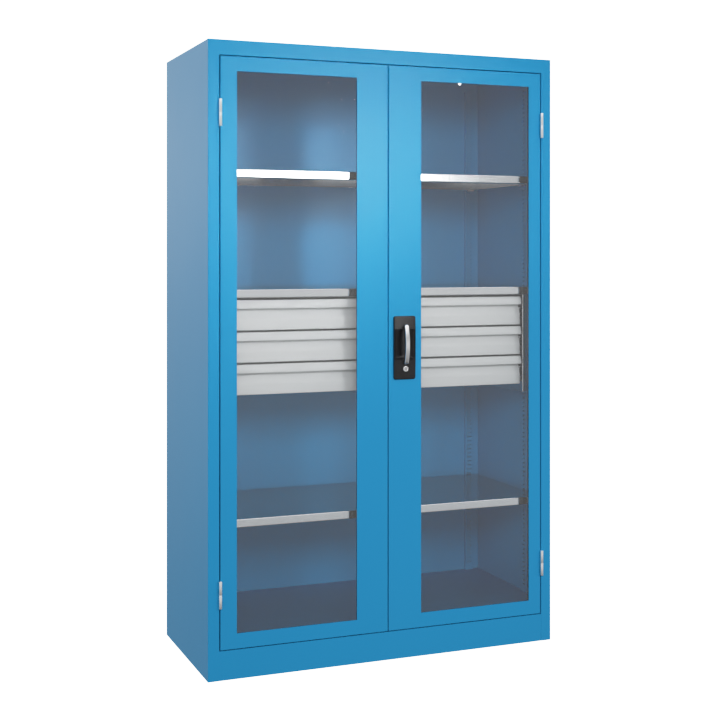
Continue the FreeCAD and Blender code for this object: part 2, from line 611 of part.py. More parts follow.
# Bow handle: an arched bar standing on the housing at both ends; the upper end sits on the spindle.
foot_d = -C("plate_p") - 0.3
mid_z = (C("bow_lo") + C("bow_hi")) / 2
bow = body("bow_blank")
pad(bow, "bow_side", "YZ_Plane", (lx - C("bow_w") / 2, lx + C("bow_w") / 2), [
    (Y(foot_d), C("bow_hi")), (Y(C("bow_end_d")), C("bow_hi")), (Y(C("bow_end_d")), C("bow_lo")), (Y(foot_d), C("bow_lo")),
    (Y(foot_d), C("bow_lo") + 12), (Y(foot_d), C("bow_hi") - 15)],
    arcs={1: (Y(C("bow_out_d")), mid_z), 4: (Y(C("bow_in_d")), mid_z)})


def bow_edge(e):
    box_ = e.BoundBox
    return box_.YMax < Y(C("bow_end_d") + 1).value or (box_.XLength > 1 and box_.YMax < Y(foot_d - 4).value)


bow_round = fillet("bow_round", bow, bow_edge, 4.5)
node(cut("bow_cut", bow_round, rod_y("bow_socket", lx, (Y(-19), Y(0)), sz, C("spindle_r"))), "handle_bow")

# Pinion on the spindle and the two rods with racks. Teeth: involute pinion against straight-sided racks.
m, z_teeth = C("gear_module").value, int(C("gear_teeth").value)
r_p = m * z_teeth / 2
alpha = math.radians(20)
r_b = r_p * math.cos(alpha)
inv = lambda a: math.tan(a) - a
half_b = math.pi / (2 * z_teeth) - 0.1 / r_p + inv(alpha)
flank = [(r_p - 1.25 * m, half_b)] + [(r, half_b - inv(math.acos(min(1.0, r_b / r))))
                                      for r in [r_b + (r_p + m - r_b) * i / 5 for i in range(6)]]
outline = []
for i in range(z_teeth):
    mid_a = 2 * math.pi * i / z_teeth
    for r, h in flank:
        outline.append((r, mid_a - h))
    for r, h in reversed(flank):
        outline.append((r, mid_a + h))
gear_y = (Y(rd - 4).value, Y(rd + 4).value)
ring = [Vector(lx.value + r * math.cos(a), gear_y[0], sz.value + r * math.sin(a)) for r, a in outline]
pinion = doc.addObject("Part::Feature", "pinion_teeth")
pinion.Shape = Part.Face(Part.makePolygon(ring + ring[:1])).extrude(Vector(0, gear_y[1] - gear_y[0], 0))
node(fuse("spindle_fused", pinion,
          rod_y("spindle_front", lx, (Y(-19), Y(rd - 3)), sz, C("spindle_r")),
          rod_y("spindle_back", lx, (Y(rd + 3), Y(dt - 0.6)), sz, 3)), "spindle_pinion")


def rack(name, sign, z_lo, z_hi):
    """A rack bar on the right (sign 1) or the left (sign -1) of the pinion, with a tooth gap level with the spindle."""
    up_, down_ = m, 1.25 * m
    tip, root, back_x = r_p - up_, r_p + down_, r_p + 8
    half = math.pi * m / 4 - 0.1
    slope = math.tan(alpha)
    line = [(root, z_lo)]
    step = math.pi * m
    j = math.ceil((z_lo + 2) / step - 0.5)
    while (j + 0.5) * step < z_hi - 2:
        c = (j + 0.5) * step
        line += [(root, c - half - down_ * slope), (tip, c - half + up_ * slope),
                 (tip, c + half - up_ * slope), (root, c + half + down_ * slope)]
        j += 1
    line += [(root, z_hi), (back_x, z_hi), (back_x, z_lo)]
    pts = [Vector(lx.value + sign * a, gear_y[0], sz.value + b) for a, b in line]
    bar = doc.addObject("Part::Feature", name)
    bar.Shape = Part.Face(Part.makePolygon(pts + pts[:1])).extrude(Vector(0, gear_y[1] - gear_y[0], 0))
    return bar


node(fuse("rod_up", rack("rack_up", 1, -30, 14), rod_z("rod_up_bar", rod_up_x, Y(rd), (sz + 10, C("rod_tip_up")), C("rod_r"))),
     "upper_lock_rod")
node(fuse("rod_low", rack("rack_low", -1, -14, 30), rod_z("rod_low_bar", rod_low_x, Y(rd), (C("rod_tip_low"), sz - 10), C("rod_r"))),
     "lower_lock_rod")

# Lock case: open pan behind the housing, with holes for the rods and the spindle's rear pivot.
case = cut("case_cut",
           box("case_blank", (lx - 26, lx + 27), (Y(7), Y(dt - 0.5)), (sz - 36, sz + 38)),
           box("case_hollow", (lx - 26 + t, lx + 27 - t), (Y(6), Y(dt - 0.5 - t)), (sz - 36 + t, sz + 38 - t)),
           rod_z("case_hole_up", rod_up_x, Y(rd), (sz + 30, sz + 40), C("rod_r") + 0.4),
           rod_z("case_hole_low", rod_low_x, Y(rd), (sz - 40, sz - 30), C("rod_r") + 0.4),
           rod_y("case_pivot", lx, (Y(15), Y(dt + 2)), sz, 3 + C("run_gap")))
node(case, "lock_case")
guides = []
for i, (x, z) in enumerate(((rod_up_x, 1380), (rod_up_x, 1862), (rod_low_x, 640), (rod_low_x, 130))):
    guides.append(cut("guide_%d" % i, box("guide_blank_%d" % i, (x - 9, x + 9), (Y(t), Y(dt - 2)), (size(z) - 7, size(z) + 7)),
                      rod_z("guide_bore_%d" % i, x, Y(rd), (size(z) - 8, size(z) + 8), C("rod_r") + 0.08)))
node(group("guides", *guides), "rod_guides")

# Lock barrel in the housing, with the turning core, its key slot and the cam behind the door.
node(cut("barrel_cut", fillet("barrel_round", rod_y("barrel_blank", lx, (Y(-15.5), Y(8)), kz, C("barrel_r")),
                              lambda e: e.BoundBox.YMax < Y(-15.4).value and len(e.Vertexes) == 1, 1.2),
         rod_y("barrel_core", lx, (Y(-30), Y(20)), kz, C("core_r") + C("run_gap"))), "lock_barrel")
node(cut("core_cut", fuse("core_blank", rod_y("core_plug", lx, (Y(-15.9), Y(12)), kz, C("core_r")),
                          box("core_cam", (lx - 5, lx + 5), (Y(8.6), Y(11.6)), (kz - 26, kz + 3))),
         box("key_slot", (lx - 1.3, lx + 1.3), (Y(-30), Y(4)), (kz - 4.6, kz + 4.6))), "lock_core")

# ---------------------------------------------------------------- drawer blocks
bh, bl, bf, bb = C("block_half"), C("block_lo"), C("block_front"), C("block_back")
block_hi = C("shelf_mid_z") - C("shelf_th")
fixed = []
for k, s in SIDES:
    cx = k * C("block_x")
    plates = []
    for j, q in ((-1, "west"), (1, "east")):
        tag = "%s_%s" % (s, q)
        xs = (cx + bh, cx + bh + t) if j > 0 else (cx - bh - t, cx - bh)
        lip = (cx + bh, cx + bh + C("block_lip")) if j > 0 else (cx - bh - C("block_lip"), cx - bh)
        hang = (cx + bh, cx + bh + 16) if j > 0 else (cx - bh - 16, cx - bh)
        plate = fuse("block_plate_" + tag, box("block_wall_" + tag, xs, (Y(bf), Y(bb)), (bl, block_hi)),
                     box("block_lip_" + tag, lip, (Y(bf), Y(bf + t)), (bl, block_hi)),
                     box("block_hang_" + tag, hang, (Y(bf), Y(bb)), (block_hi - t, block_hi)))
        bend = (cx + j * bh).value
        plates.append(fillet("block_bend_" + tag, plate, lambda e: all(
            abs(v.X - bend) + abs(v.Y - Y(bf).value) < 1e-6 for v in e.Vertexes), 2.8))
        for i in range(3):
            zc = C("drawer_top") - i * C("drawer_pitch") - C("rail_drop")
            rt, rw = C("rail_tall") / 2, C("rail_deep")
            xs = (cx + bh - rw, cx + bh) if j > 0 else (cx - bh, cx - bh + rw)
            core = (xs[0] - 1, xs[1] - t) if j > 0 else (xs[0] + t, xs[1] + 1)
            name = "%s_%d" % (tag, i + 1)
            fixed.append(cut("fixed_rail_" + name, box("fixed_rail_blank_" + name, xs, (Y(75), Y(492)), (zc - rt, zc + rt)),
                             box("fixed_rail_core_" + name, core, (Y(70), Y(500)), (zc - rt + t, zc + rt - t))))
    plates.append(box("block_rear_" + s, (cx - bh, cx + bh), (Y(bb - t), Y(bb)), (bl, block_hi)))
    node(group("block_" + s, *plates), "drawer_housing_" + s)
node(group("fixed_rails", *fixed), "drawer_fixed_rails")

# Drawers: folded front with a leaning pull lip and a finger scoop, open tray behind it, moving rails on the tray's sides.
for k, s in SIDES:
    cx = k * C("block_x")
    for i in range(3):
        tag = "%s_%d" % (s, i + 1)
        zt = C("drawer_top") - i * C("drawer_pitch")
        dw, fd, sd = C("drawer_half"), C("face_d"), C("scoop_d")
        lt, ll, lip_z = C("lip_top_d"), C("lip_low_d"), C("lip_tall")
        front = body("drawer_front_body_" + tag)
        pad(front, "front_fold_" + tag, "YZ_Plane", (cx - dw, cx + dw), [
            (Y(64), zt), (Y(lt), zt), (Y(ll), zt - lip_z), (Y(ll + 1), zt - lip_z - 2), (Y(sd), zt - lip_z - 2),
            (Y(fd), zt - C("scoop_low")), (Y(fd), zt - C("drawer_tall")), (Y(fd + 11), zt - C("drawer_tall")),
            (Y(fd + 11), zt - C("drawer_tall") + t), (Y(fd + t), zt - C("drawer_tall") + t),
            (Y(fd + t), zt - C("scoop_low") + 0.4), (Y(sd + t), zt - lip_z - 2), (Y(sd + t), zt - lip_z - 0.5),
            (Y(ll + 2), zt - lip_z - 0.5), (Y(lt + 1.4), zt - t), (Y(64), zt - t)])
        cap = [(Y(64), zt), (Y(lt), zt), (Y(ll), zt - lip_z), (Y(ll + 1), zt - lip_z - 2), (Y(sd), zt - lip_z - 2), (Y(64), zt - lip_z)]
        pad(front, "front_cap_a_" + tag, "YZ_Plane", (cx - dw, cx - dw + t), cap)
        pad(front, "front_cap_b_" + tag, "YZ_Plane", (cx + dw - t, cx + dw), cap)
        node(front, "drawer_front_" + tag)
        tw, tf, tb = C("tray_half"), C("tray_front"), C("tray_back")
        z0 = zt - C("tray_drop")
        z1 = z0 + C("tray_tall")
        tray = cut("tray_" + tag, box("tray_blank_" + tag, (cx - tw, cx + tw), (Y(tf), Y(tb)), (z0, z1)),
                   box("tray_hollow_" + tag, (cx - tw + t, cx + tw - t), (Y(tf + t), Y(tb - t)), (z0 + t, z1 + 1)))
        node(tray, "drawer_tray_" + tag)
        zc = zt - C("rail_drop")
        rt = C("rail_tall") / 2 - t - C("rail_play")
        rails = []
        for j, q in ((-1, "west"), (1, "east")):
            name = "%s_%s" % (tag, q)
            reach = bh - t - C("rail_play")
            xs = (cx + tw, cx + reach) if j > 0 else (cx - reach, cx - tw)
            core = (xs[0] + t, xs[1] + 1) if j > 0 else (xs[0] - 1, xs[1] - t)
            rails.append(cut("moving_rail_" + name, box("moving_rail_blank_" + name, xs, (Y(80), Y(484)), (zc - rt, zc + rt)),
                             box("moving_rail_core_" + name, core, (Y(70), Y(490)), (zc - rt + t, zc + rt - t))))
        node(group("rails_" + tag, *rails), "drawer_rails_" + tag)

# ---------------------------------------------------------------- check and write
doc.recompute()
for obj in doc.Objects:
    if {"Invalid", "Error"} & set(obj.State):
        raise RuntimeError("%s (%s) failed: %s" % (obj.Name, obj.Label, obj.State))
labels = [obj.Label for obj in NODES]
if len(set(labels)) != len(labels):
    raise RuntimeError("two sub-parts share a name")
for obj in NODES:
    if obj.Shape.isNull() or not obj.Shape.isValid() or not obj.Shape.Solids:
        raise RuntimeError("%s has no valid shape" % obj.Label)
os.makedirs("parts", exist_ok=True)
whole = FreeCAD.BoundBox()
for obj in NODES:
    obj.Shape.exportStep("parts/%s.step" % obj.Label)
    whole.add(obj.Shape.BoundBox)
    print("%-28s solids %2d  volume %10.1f" % (obj.Label, len(obj.Shape.Solids), obj.Shape.Volume))
print(len(NODES), "sub-parts", whole)
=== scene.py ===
import json
import math

import bmesh
import bpy
from mathutils import Matrix, Vector


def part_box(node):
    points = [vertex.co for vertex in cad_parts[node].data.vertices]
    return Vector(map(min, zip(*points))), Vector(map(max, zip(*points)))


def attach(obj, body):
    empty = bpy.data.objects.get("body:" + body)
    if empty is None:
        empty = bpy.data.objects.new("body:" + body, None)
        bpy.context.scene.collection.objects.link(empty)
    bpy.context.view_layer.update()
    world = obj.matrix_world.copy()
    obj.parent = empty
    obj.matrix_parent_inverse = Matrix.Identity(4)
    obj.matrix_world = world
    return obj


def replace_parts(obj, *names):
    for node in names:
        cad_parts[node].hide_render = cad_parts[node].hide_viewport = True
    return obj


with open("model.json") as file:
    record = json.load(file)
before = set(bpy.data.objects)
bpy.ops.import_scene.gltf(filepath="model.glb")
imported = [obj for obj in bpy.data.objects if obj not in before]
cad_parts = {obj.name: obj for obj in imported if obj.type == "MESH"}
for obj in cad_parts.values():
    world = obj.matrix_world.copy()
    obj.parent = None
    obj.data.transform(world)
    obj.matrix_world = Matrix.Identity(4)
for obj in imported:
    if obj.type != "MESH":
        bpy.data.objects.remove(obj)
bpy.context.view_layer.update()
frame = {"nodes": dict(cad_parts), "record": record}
nodes = frame["nodes"]
scene = bpy.context.scene


def Y(d):
    """The y of a depth d, in millimetres behind the front plane of the doors."""
    return -0.25 + d / 1000.0


# ---------------------------------------------------------------- materials
class Mat:
    """A material with one Principled shader and short helpers for the nodes that feed it."""

    def __init__(self, name, **sockets):
        self.m = bpy.data.materials.new(name)
        self.m.use_nodes = True
        self.nt = self.m.node_tree
        self.nt.nodes.clear()
        self.out = self.nt.nodes.new("ShaderNodeOutputMaterial")
        self.p = self.nt.nodes.new("ShaderNodeBsdfPrincipled")
        self.link(self.p.outputs[0], self.out.inputs[0])
        self.coord = self.nt.nodes.new("ShaderNodeTexCoord").outputs["Object"]
        for key, value in sockets.items():
            self.p.inputs[key.replace("_", " ")].default_value = value

    def link(self, a, b):
        self.nt.links.new(a, b)

    def node(self, kind, **props):
        n = self.nt.nodes.new(kind)
        for key, value in props.items():
            setattr(n, key, value)
        return n

    def stretched(self, scale):
        n = self.node("ShaderNodeMapping")
        n.inputs["Scale"].default_value = scale
        self.link(self.coord, n.inputs["Vector"])
        return n.outputs[0]

    def noise(self, scale, detail=2.0, rough=0.5, vector=None):
        n = self.node("ShaderNodeTexNoise")
        n.inputs["Scale"].default_value = scale
        n.inputs["Detail"].default_value = detail
        n.inputs["Roughness"].default_value = rough
        self.link(vector or self.coord, n.inputs["Vector"])
        return n.outputs[0]

    def cells(self, scale, output="Color", vector=None):
        n = self.node("ShaderNodeTexVoronoi")
        n.inputs["Scale"].default_value = scale
        self.link(vector or self.coord, n.inputs["Vector"])
        return n.outputs[output]

    def ramp(self, value, stops):
        n = self.node("ShaderNodeValToRGB")
        while len(n.color_ramp.elements) < len(stops):
            n.color_ramp.elements.new(0.5)
        for e, (pos, col) in zip(n.color_ramp.elements, stops):
            e.position = pos
            e.color = (*col, 1.0)
        self.link(value, n.inputs[0])
        return n.outputs[0]

    def spread(self, value, lo, hi, a=0.3, b=0.7):
        n = self.node("ShaderNodeMapRange")
        for key, x in (("From Min", a), ("From Max", b), ("To Min", lo), ("To Max", hi)):
            n.inputs[key].default_value = x
        self.link(value, n.inputs["Value"])
        return n.outputs[0]

    def bump(self, *layers):
        """Stacks bump layers, each (height, strength, distance)."""
        last = None
        for height, strength, distance in layers:
            n = self.node("ShaderNodeBump")
            n.inputs["Strength"].default_value = strength
            n.inputs["Distance"].default_value = distance
            self.link(height, n.inputs["Height"])
            if last is not None:
                self.link(last, n.inputs["Normal"])
            last = n.outputs[0]
        self.link(last, self.p.inputs["Normal"])

    def colour(self, socket):
        self.link(socket, self.p.inputs["Base Color"])

    def roughness(self, socket):
        self.link(socket, self.p.inputs["Roughness"])


def powder_coat(name, deep, mid, pale, rough, specular=0.5, tint=1.0):
    """Powder coat: faint cloudy shade, fine orange peel and slightly uneven gloss."""
    k = Mat(name, Specular_IOR_Level=specular, Specular_Tint=(tint, tint, tint, 1.0))
    k.colour(k.ramp(k.noise(1.7, 3.0), [(0.3, deep), (0.5, mid), (0.72, pale)]))
    k.roughness(k.spread(k.noise(5.0, 2.0), rough - 0.006, rough + 0.006))
    k.bump((k.noise(140.0, 1.0), 0.002, 0.0002))
    return k.m


blue = powder_coat("blue_powder_coat", (0.0196, 0.274, 0.550), (0.0200, 0.278, 0.556), (0.0204, 0.282, 0.562), 0.28, 0.40, 0.32)
grey = powder_coat("grey_powder_coat", (0.565, 0.572, 0.574), (0.570, 0.577, 0.579), (0.575, 0.582, 0.584), 0.42)


def galvanised_sheet():
    """Bright galvanised sheet: mirror-like, with a faint spangle."""
    k = Mat("galvanised_sheet", Metallic=1.0, Specular_Tint=(0.60, 0.60, 0.60, 1.0))
    flakes = k.cells(55.0, "Color")
    k.colour(k.ramp(flakes, [(0.0, (0.74, 0.75, 0.765)), (1.0, (0.77, 0.78, 0.795))]))
    k.roughness(k.spread(k.noise(8.0, 2.0), 0.125, 0.135))
    return k.m


def zinc_plating():
    k = Mat("zinc_plating", Metallic=1.0)
    k.colour(k.ramp(k.noise(40.0, 3.0), [(0.3, (0.94, 0.945, 0.955)), (0.7, (0.96, 0.965, 0.97))]))
    k.roughness(k.spread(k.noise(160.0, 2.0), 0.30, 0.34))
    k.bump((k.noise(700.0, 2.0), 0.02, 0.0002))
    return k.m


def black_plastic():
    """Moulded black plastic with a fine spark-eroded grain."""
    k = Mat("black_plastic", Specular_IOR_Level=0.40)
    k.colour(k.ramp(k.noise(60.0, 3.0), [(0.3, (0.007, 0.007, 0.008)), (0.7, (0.010, 0.010, 0.011))]))
    k.roughness(k.spread(k.noise(220.0, 2.0), 0.23, 0.27))
    k.bump((k.cells(1500.0, "Distance"), 0.03, 0.0002), (k.noise(2600.0, 2.0), 0.02, 0.0001))
    return k.m


def satin_silver():
    """Satin silver: fine brushing along the bar."""
    k = Mat("satin_silver", Metallic=1.0)
    streak = k.noise(500.0, 3.0, 0.6, k.stretched((3.0, 3.0, 0.08)))
    k.colour(k.ramp(streak, [(0.3, (0.84, 0.84, 0.845)), (0.7, (0.89, 0.89, 0.895))]))
    k.roughness(k.spread(streak, 0.18, 0.22))
    k.bump((streak, 0.04, 0.0001))
    return k.m


def bright_metal():
    k = Mat("bright_metal", Metallic=1.0)
    k.colour(k.ramp(k.noise(90.0, 2.0), [(0.3, (0.74, 0.74, 0.75)), (0.7, (0.80, 0.80, 0.81))]))
    k.roughness(k.spread(k.noise(300.0, 2.0), 0.14, 0.22))
    k.bump((k.noise(900.0, 2.0), 0.03, 0.0001))
    return k.m


def black_rubber():
    k = Mat("black_rubber", Specular_IOR_Level=0.35)
    k.colour(k.ramp(k.noise(120.0, 3.0), [(0.3, (0.014, 0.015, 0.017)), (0.7, (0.024, 0.025, 0.028))]))
    k.roughness(k.spread(k.noise(240.0, 2.0), 0.52, 0.66))
    k.bump((k.noise(1200.0, 2.0), 0.10, 0.0002))
    return k.m


def clear_pane():
    """Clear pane: sight and light go straight through, with a faint haze and the surroundings mirrored on its outer faces."""
    k = Mat("clear_pane", Metallic=0.4, Base_Color=(0.95, 0.95, 0.95, 1.0))
    k.roughness(k.spread(k.noise(30.0, 2.0), 0.02, 0.06))
    see = k.node("ShaderNodeBsdfTransparent")
    k.link(k.ramp(k.noise(3.0, 2.0), [(0.3, (0.975, 0.985, 0.990)), (0.7, (0.985, 0.992, 0.995))]), see.inputs["Color"])
    fres = k.node("ShaderNodeFresnel")
    fres.inputs["IOR"].default_value = 1.90
    face = k.node("ShaderNodeNewGeometry")
    front = k.node("ShaderNodeMath", operation="SUBTRACT")
    front.inputs[0].default_value = 1.0
    k.link(face.outputs["Backfacing"], front.inputs[1])
    share = k.node("ShaderNodeMath", operation="MULTIPLY")
    k.link(fres.outputs[0], share.inputs[0])
    k.link(front.outputs[0], share.inputs[1])
    mix = k.node("ShaderNodeMixShader")
    k.link(share.outputs[0], mix.inputs[0])
    k.link(see.outputs[0], mix.inputs[1])
    k.link(k.p.outputs[0], mix.inputs[2])
    k.link(mix.outputs[0], k.out.inputs[0])
    return k.m


MATERIALS = {
    "blue_paint": blue,
    "grey_paint": grey,
    "galvanised": galvanised_sheet(),
    "zinc": zinc_plating(),
    "black_plastic": black_plastic(),
    "satin_silver": satin_silver(),
    "bright_metal": bright_metal(),
    "rubber": black_rubber(),
    "clear_pane": clear_pane(),
}
slot_of = {row["node"]: row["material_slot"] for row in frame["record"]["subparts"]}


def paint(obj, slot):
    obj.data.materials.clear()
    obj.data.materials.append(MATERIALS[slot])


for name, obj in nodes.items():
    paint(obj, slot_of[name])

# ---------------------------------------------------------------- pieces drawn finer than their solids
def piece(name, verts, faces, body, slot, sharp=38.0):
    """A mesh piece from corners in millimetres (x, depth d, z), riding on a body and painted from a material slot."""
    mesh = bpy.data.meshes.new(name)
    mesh.from_pydata([(x / 1000.0, Y(d), z / 1000.0) for x, d, z in verts], [], faces)
    bm = bmesh.new()
    bm.from_mesh(mesh)
    bmesh.ops.recalc_face_normals(bm, faces=bm.faces)
    bm.to_mesh(mesh)
    bm.free()
    mesh.polygons.foreach_set("use_smooth", [True] * len(mesh.polygons))
    mesh.set_sharp_from_angle(angle=math.radians(sharp))
    obj = bpy.data.objects.new(name, mesh)
    scene.collection.objects.link(obj)
    paint(obj, slot)
    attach(obj, body)
    return obj


def soften(obj, width_mm, segments=2, angle=55.0):
    """Small rounded edges where the faces meet at more than the angle."""
    m = obj.modifiers.new("soft_edges", "BEVEL")
    m.width = width_mm / 1000.0
    m.segments = segments
    m.limit_method = "ANGLE"
    m.angle_limit = math.radians(angle)
    m.harden_normals = True


def bezier(a, b, c, e, n):
    out = []
    for i in range(n + 1):
        t = i / n
        w = ((1 - t) ** 3, 3 * t * (1 - t) ** 2, 3 * t * t * (1 - t), t ** 3)
        out.append(tuple(sum(k * p[j] for k, p in zip(w, (a, b, c, e))) for j in (0, 1)))
    return out


def drawer_profile():
    """Section of a drawer front: (depth, height below the drawer's top edge), clockwise from the rear of its top flange."""
    out = [(64.0, 0.0), (53.2, 0.0), (52.3, -0.15), (51.6, -0.5)]
    bulge = 38.0
    for i in range(15):
        a = math.asin(22.0 / bulge) * (1 - i / 14)
        out.append((44.0 + bulge * (1 - math.cos(a)), -23.0 + bulge * math.sin(a)))
    for i in range(1, 9):
        a = math.pi + math.pi / 2 * i / 8
        out.append((45.2 + 1.2 * math.cos(a), -25.6 + 1.2 * math.sin(a)))
    out += [(52.0, -27.0), (63.0, -27.2)]
    for i in range(1, 7):
        a = math.pi / 2 * (1 - i / 6)
        out.append((63.0 + 4.0 * math.cos(a), -31.2 + 4.0 * math.sin(a)))
    out += bezier((67.0, -32.0), (65.8, -41.0), (56.2, -50.0), (55.0, -64.0), 18)[1:]
    for i in range(7):
        a = math.pi + math.pi / 2 * i / 6
        out.append((57.0 + 2.0 * math.cos(a), -92.5 + 2.0 * math.sin(a)))
    out += [(66.0, -94.5), (66.0, -93.2), (57.0, -93.2), (56.3, -92.5)]
    out += bezier((56.3, -64.0), (57.5, -50.0), (67.2, -41.0), (68.4, -32.0), 10)
    return out + [(68.4, -24.6), (64.0, -24.6)]


profile = drawer_profile()
for side, k in (("left", -1), ("right", 1)):
    for row in (1, 2, 3):
        name = "drawer_front_%s_%d" % (side, row)
        lo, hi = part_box(name)
        x0, x1, top_z = lo[0] * 1000.0, hi[0] * 1000.0, hi[2] * 1000.0
        n = len(profile)
        verts = [(x, d, top_z + z) for x in (x0, x1) for d, z in profile]
        faces = [tuple(range(n)), tuple(range(2 * n - 1, n - 1, -1))]
        faces += [(i, (i + 1) % n, n + (i + 1) % n, n + i) for i in range(n)]
        front_piece = piece(name + "_formed", verts, faces, "drawer_%s_%d" % (side, row), "grey_paint")
        soften(front_piece, 0.7)
        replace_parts(front_piece, name)


def bow_handle():
    """Arched bar with rounded sides, a round upper end and a blunt lower end."""
    lo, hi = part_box("handle_bow")
    mid_x, z0, z1 = 500.0 * (lo[0] + hi[0]), lo[2] * 1000.0, hi[2] * 1000.0
    half_w, mid, half = 500.0 * (hi[0] - lo[0]), 0.5 * (z0 + z1), 0.5 * (z1 - z0)
    r_out = (half * half + 11.0 ** 2) / 22.0
    r_in = (50.5 ** 2 + 7.7 ** 2) / 15.4
    around, verts, rings = 40, [], 0
    steps = [0.15, 0.6, 1.4, 2.4, 3.6, 5.0, 6.6]
    levels = [z0 + e for e in steps] + [z0 + 8.5 + (2 * half - 17.0) * i / 40 for i in range(41)] + [z1 - e for e in reversed(steps)]
    for z in levels:
        up, down, dz = z1 - z, z - z0, z - mid
        wide = half_w
        if up < 7.5:
            wide *= math.sqrt(max(0.0, 1 - ((7.5 - up) / 7.5) ** 2))
        if down < 4.0:
            wide -= 4.0 - math.sqrt(max(0.0, 16.0 - (4.0 - down) ** 2))
        outer = -35.0 + r_out - math.sqrt(r_out ** 2 - dz * dz)
        end = min(up, down)
        if end < 6.0:
            outer += 6.0 - math.sqrt(36.0 - (6.0 - end) ** 2)
        inner = min(-10.35, -18.0 + r_in - math.sqrt(max(0.0, r_in ** 2 - dz * dz)))
        centre, deep = 0.5 * (outer + inner), 0.5 * (inner - outer)
        for i in range(around):
            a = 2 * math.pi * i / around
            c, s = math.cos(a), math.sin(a)
            e = 2.0 / 3.2
            verts.append((mid_x + wide * math.copysign(abs(c) ** e, c), centre + deep * math.copysign(abs(s) ** e, s), z))
        rings += 1
    faces = [tuple(range(around)), tuple(range((rings - 1) * around, rings * around))]
    for r in range(rings - 1):
        for i in range(around):
            j = (i + 1) % around
            faces.append((r * around + i, r * around + j, (r + 1) * around + j, (r + 1) * around + i))
    return piece("bow_bar", verts, faces, "handle", "satin_silver", 50.0)


bow = bow_handle()
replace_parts(bow, "handle_bow")


def turned(profile, x, d, z, axis="z", segments=36):
    """Turns a closed (radius, height) outline about an axis through the point."""
    verts, faces, n = [], [], len(profile)
    for i in range(segments):
        a = 2 * math.pi * i / segments
        c, s = math.cos(a), math.sin(a)
        for r, h in profile:
            verts.append((x + r * c, d + r * s, z + h) if axis == "z" else (x + r * c, d + h, z + r * s))
    for i in range(segments):
        j = (i + 1) % segments
        for q in range(n):
            p = (q + 1) % n
            faces.append((i * n + q, i * n + p, j * n + p, j * n + q))
    return verts, faces


def block(x, d, z):
    verts = [(a, b, c) for a in x for b in d for c in z]
    return verts, [(0, 1, 3, 2), (4, 6, 7, 5), (0, 4, 5, 1), (2, 3, 7, 6), (0, 2, 6, 4), (1, 5, 7, 3)]


def joined(parts):
    verts, faces = [], []
    for v, f in parts:
        base = len(verts)
        verts += v
        faces += [tuple(base + i for i in q) for q in f]
    return verts, faces


def handle_housing():
    """Moulded handle housing: slightly crowned plate with a rounded rim, and a trough across it for the fingers."""
    lo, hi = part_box("handle_housing")
    mid_x, half_w, z0, z1 = 500.0 * (lo[0] + hi[0]), 500.0 * (hi[0] - lo[0]), lo[2] * 1000.0, hi[2] * 1000.0
    t0, t1, corner, rim, proud = 959.0, 1057.0, 6.0, 2.5, -(lo[1] + 0.25) * 1000.0

    def height(x, z):
        a, b = abs(x) - (half_w - corner), abs(z - 0.5 * (z0 + z1)) - (0.5 * (z1 - z0) - corner)
        edge = corner - math.hypot(a, b) if a > 0 and b > 0 else min(half_w - abs(x), z - z0, z1 - z)
        p = proud - 0.9 * (x / half_w) ** 2
        if z > t1:
            p -= 0.046 * (z - t1)
        if z < t0:
            p -= 0.035 * (t0 - z)
        if edge < rim:
            p -= rim - math.sqrt(max(0.0, rim * rim - (rim - max(edge, 0.0)) ** 2))
        if t0 < z < t1:
            across = -5.4 + 12.0 * (max(0.0, abs(x) - 20.0) / 15.5) ** 2
            low = -5.4 + 14.0 * (max(0.0, t0 + 14.0 - z) / 14.0) ** 2
            p = min(p, max(across, low))
        return p

    levels = [z0 + e for e in (0.0, 0.15, 0.4, 0.8, 1.3, 1.9, 2.5, 4.0, 6.0)]
    levels += [z0 + 6.0 + (t0 - 1.0 - z0 - 6.0) * i / 14 for i in range(1, 15)] + [t0 - 0.01, t0 + 0.01]
    levels += [t0 + 1.0 + (t1 - t0 - 1.5) * i / 44 for i in range(45)] + [t1 - 0.1, t1 + 0.02, t1 + 0.6]
    levels += [t1 + 2.0 + (z1 - 6.0 - t1 - 2.0) * i / 9 for i in range(10)] + [z1 - e for e in (4.0, 2.5, 1.9, 1.3, 0.8, 0.4, 0.15, 0.0)]
    inset = [0.0, 0.15, 0.4, 0.8, 1.3, 1.9, 2.1, 2.6, 3.5, 5.0, 7.0, 9.0, 11.5, 14.0, 17.5, 21.0, 25.0, 29.0, 33.0, half_w]
    across = [-(half_w - e) for e in inset] + [half_w - e for e in reversed(inset[:-1])]
    n, verts, faces = len(across), [], []
    for z in levels:
        near = corner - min(z - z0, z1 - z)
        wide = half_w - (corner - math.sqrt(max(0.0, corner * corner - near * near)) if near > 0 else 0.0)
        for x in across:
            x *= wide / half_w
            verts.append((mid_x + x, -height(x, z), z))
    rows = len(levels)
    for r in range(rows - 1):
        for i in range(n - 1):
            faces.append((r * n + i, r * n + i + 1, (r + 1) * n + i + 1, (r + 1) * n + i))
    loop = list(range(n)) + [r * n + n - 1 for r in range(1, rows)] + [(rows - 1) * n + i for i in range(n - 2, -1, -1)] + [r * n for r in range(rows - 2, 0, -1)]
    base = len(verts)
    verts += [(verts[i][0], 0.0, verts[i][2]) for i in loop]
    for q in range(len(loop)):
        w = (q + 1) % len(loop)
        faces.append((loop[q], loop[w], base + w, base + q))
    base = len(verts)
    v, f = block((mid_x - 31.4, mid_x + 31.4), (0.0, 6.9), (t0 - 1.4, 1077.9))
    verts += v
    faces += [tuple(base + i for i in q) for q in f if q != (0, 4, 5, 1)]
    return piece("housing_moulding", verts, faces, "door_right", "black_plastic", 42.0)


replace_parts(handle_housing(), "handle_housing")


